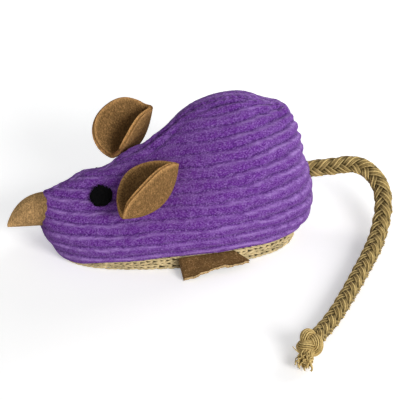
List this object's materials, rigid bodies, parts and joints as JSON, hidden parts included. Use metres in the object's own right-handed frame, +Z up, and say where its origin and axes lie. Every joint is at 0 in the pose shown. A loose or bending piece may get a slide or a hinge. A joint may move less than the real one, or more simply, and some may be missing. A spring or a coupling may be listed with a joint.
{
  "type": "catnip mouse",
  "caption": "Stuffed corduroy toy mouse for a cat, with folded felt ears, a felt nose, felt foot flaps, a knitted jute base and a braided rope tail that ends in a knot.",
  "frame": {"origin": "middle of the flat underside of the base, on the floor", "axes": "+X from nose to tail along the body, +Y to the mouse's right flank, +Z up"},
  "size_m": [0.1281, 0.1167, 0.05],
  "materials": {
    "corduroy": "soft wide-wale pile",
    "jute_knit": "open knitted natural jute",
    "nose_felt": "tan felt",
    "black_felt": "black felt",
    "fibre": "loose polyester fibre",
    "muslin": "plain muslin over dried leaf",
    "jute_rope": "braided jute",
    "brown_felt": "brown felt"
  },
  "bodies": {
    "mouse_body": {"left_body_panel": "corduroy", "right_body_panel": "corduroy", "base_panel": "jute_knit", "nose": "nose_felt", "left_eye": "black_felt", "right_eye": "black_felt", "head_stuffing": "fibre", "rump_stuffing": "fibre", "catnip_pouch": "muslin", "tail_root": "jute_rope", "tail_anchor_knot": "jute_rope"},
    "left_ear_flap": {"left_ear": "brown_felt"},
    "right_ear_flap": {"right_ear": "brown_felt"},
    "left_foot_flap": {"left_foot": "brown_felt"},
    "right_foot_flap": {"right_foot": "brown_felt"},
    "tail": {"tail_cord": "jute_rope", "tail_knot": "jute_rope", "tail_tuft": "jute_rope"}
  },
  "joints": [
    {"name": "left_ear_fold", "type": "hinge", "parent": "mouse_body", "child": "left_ear_flap", "pos_m": [-0.00983, -0.01831, 0.02392], "axis": [0.803, 0.3244, 0.5], "range_deg": [0, 35], "stiffness_Nm_per_rad": 0.002},
    {"name": "right_ear_fold", "type": "hinge", "parent": "mouse_body", "child": "right_ear_flap", "pos_m": [-0.01057, 0.01459, 0.02764], "axis": [-0.71, -0.5749, -0.4067], "range_deg": [0, 35], "stiffness_Nm_per_rad": 0.002},
    {"name": "left_foot_seam", "type": "hinge", "parent": "mouse_body", "child": "left_foot_flap", "pos_m": [0.0066, -0.02267, 0.0042], "axis": [-1, 0, 0], "range_deg": [0, 45], "stiffness_Nm_per_rad": 0.003},
    {"name": "right_foot_seam", "type": "hinge", "parent": "mouse_body", "child": "right_foot_flap", "pos_m": [0.0066, 0.02267, 0.0042], "axis": [1, 0, 0], "range_deg": [0, 45], "stiffness_Nm_per_rad": 0.003},
    {"name": "tail_swing", "type": "hinge", "parent": "mouse_body", "child": "tail", "pos_m": [0.0497, 0, 0.018], "axis": [0, 0, 1], "range_deg": [-35, 75]}
  ]
}
